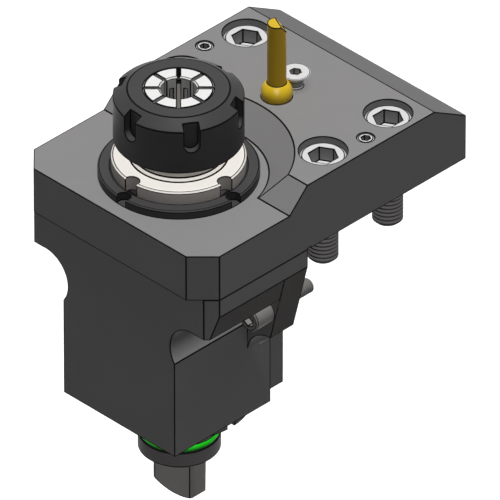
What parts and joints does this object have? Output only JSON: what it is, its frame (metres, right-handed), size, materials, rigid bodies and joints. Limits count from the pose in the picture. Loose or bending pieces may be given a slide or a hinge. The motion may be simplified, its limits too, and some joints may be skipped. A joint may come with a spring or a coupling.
{
  "type": "axial live tool holder",
  "caption": "Driven tool holder for a lathe turret: flange plate and housing round a collet spindle, with a clamping nut, a drive tang on a sealed spigot and a coolant nozzle.",
  "frame": {"origin": "where the spindle axis meets the mounting plane, which is the underside of the flange plate", "axes": "+Z along the spindle towards the collet nut, +X along the flange towards the mounting screws, +Y to the left seen from the short end"},
  "size_m": [0.1415, 0.1, 0.1908],
  "materials": {
    "holder_steel": "blackened hardened steel, ground faces",
    "nut_steel": "black oxide, turned",
    "cover_steel": "black oxide, turned",
    "spindle_steel": "bright hardened steel, ground",
    "collet_steel": "bright ground steel",
    "screw_steel": "zinc plated",
    "plain_steel": "ground steel",
    "bearing_steel": "polished bearing steel",
    "spring_steel": "hardened spring steel",
    "spigot_steel": "blackened, turned",
    "nozzle_brass": "turned brass",
    "cage_brass": "machined brass",
    "o_ring_green": "green nitrile rubber",
    "seal_black": "black nitrile rubber",
    "seal_brown": "brown fluoro rubber"
  },
  "bodies": {
    "holder": {"flange_plate": "holder_steel", "housing": "holder_steel", "housing_screws": "cover_steel", "dowel_pins": "plain_steel", "bearing_cover_ring": "cover_steel", "front_seal": "seal_black", "front_bearing_outer_rings": "bearing_steel", "rear_bearing_outer_ring": "bearing_steel", "preload_spring": "spring_steel", "drive_spigot": "spigot_steel", "rear_seal": "seal_brown", "spigot_o_ring": "o_ring_green", "mounting_screws": "screw_steel", "jack_screws": "screw_steel", "lug_screws": "plain_steel", "nozzle_clamp_screw": "screw_steel", "coolant_inlet_o_ring": "seal_black"},
    "spindle": {"spindle": "spindle_steel", "front_lock_nut": "plain_steel", "front_bearing_inner_rings": "bearing_steel", "rear_bearing_inner_ring": "bearing_steel", "rear_retaining_ring": "spring_steel"},
    "front_ball_set": {"front_bearing_balls": "bearing_steel", "front_bearing_cages": "cage_brass"},
    "rear_ball_set": {"rear_bearing_balls": "bearing_steel", "rear_bearing_cage": "cage_brass"},
    "collet": {"collet": "collet_steel"},
    "clamping_nut": {"clamping_nut": "nut_steel"},
    "nozzle_ring": {"nozzle_seal_ring": "seal_black"},
    "nozzle_ball": {"nozzle_ball": "nozzle_brass"},
    "nozzle_tube": {"nozzle_tube": "nozzle_brass"}
  },
  "joints": [
    {"name": "spindle_spin", "type": "hinge", "parent": "holder", "child": "spindle", "pos_m": [0, 0, 0], "axis": [0, 0, 1], "continuous": true},
    {"name": "front_ball_orbit", "type": "hinge", "parent": "holder", "child": "front_ball_set", "pos_m": [0, 0, 0], "axis": [0, 0, 1], "continuous": true},
    {"name": "rear_ball_orbit", "type": "hinge", "parent": "holder", "child": "rear_ball_set", "pos_m": [0, 0, 0], "axis": [0, 0, 1], "continuous": true},
    {"name": "collet_draw", "type": "slide", "parent": "spindle", "child": "collet", "axis": [0, 0, 1], "range_m": [0, 0.0045]},
    {"name": "nut_turn", "type": "hinge", "parent": "collet", "child": "clamping_nut", "pos_m": [0, 0, 0], "axis": [0, 0, 1], "range_deg": [0, 1080]},
    {"name": "nozzle_swivel", "type": "hinge", "parent": "holder", "child": "nozzle_ring", "pos_m": [0.0526, 0, 0.0318], "axis": [0, 0, 1], "range_deg": [-90, 90]},
    {"name": "nozzle_tilt", "type": "hinge", "parent": "nozzle_ring", "child": "nozzle_ball", "pos_m": [0.0526, 0, 0.0318], "axis": [0, -1, 0], "range_deg": [0, 15]},
    {"name": "nozzle_turn", "type": "hinge", "parent": "nozzle_ball", "child": "nozzle_tube", "pos_m": [0.0526, 0, 0.0318], "axis": [0, 0, 1], "range_deg": [-180, 180]}
  ],
  "couplings": [
    {"joint": "front_ball_orbit", "follows": "spindle_spin", "ratio": 0.4389},
    {"joint": "rear_ball_orbit", "follows": "spindle_spin", "ratio": 0.4111},
    {"joint": "nut_turn", "follows": "collet_draw", "rad_per_m": 4188.8}
  ]
}
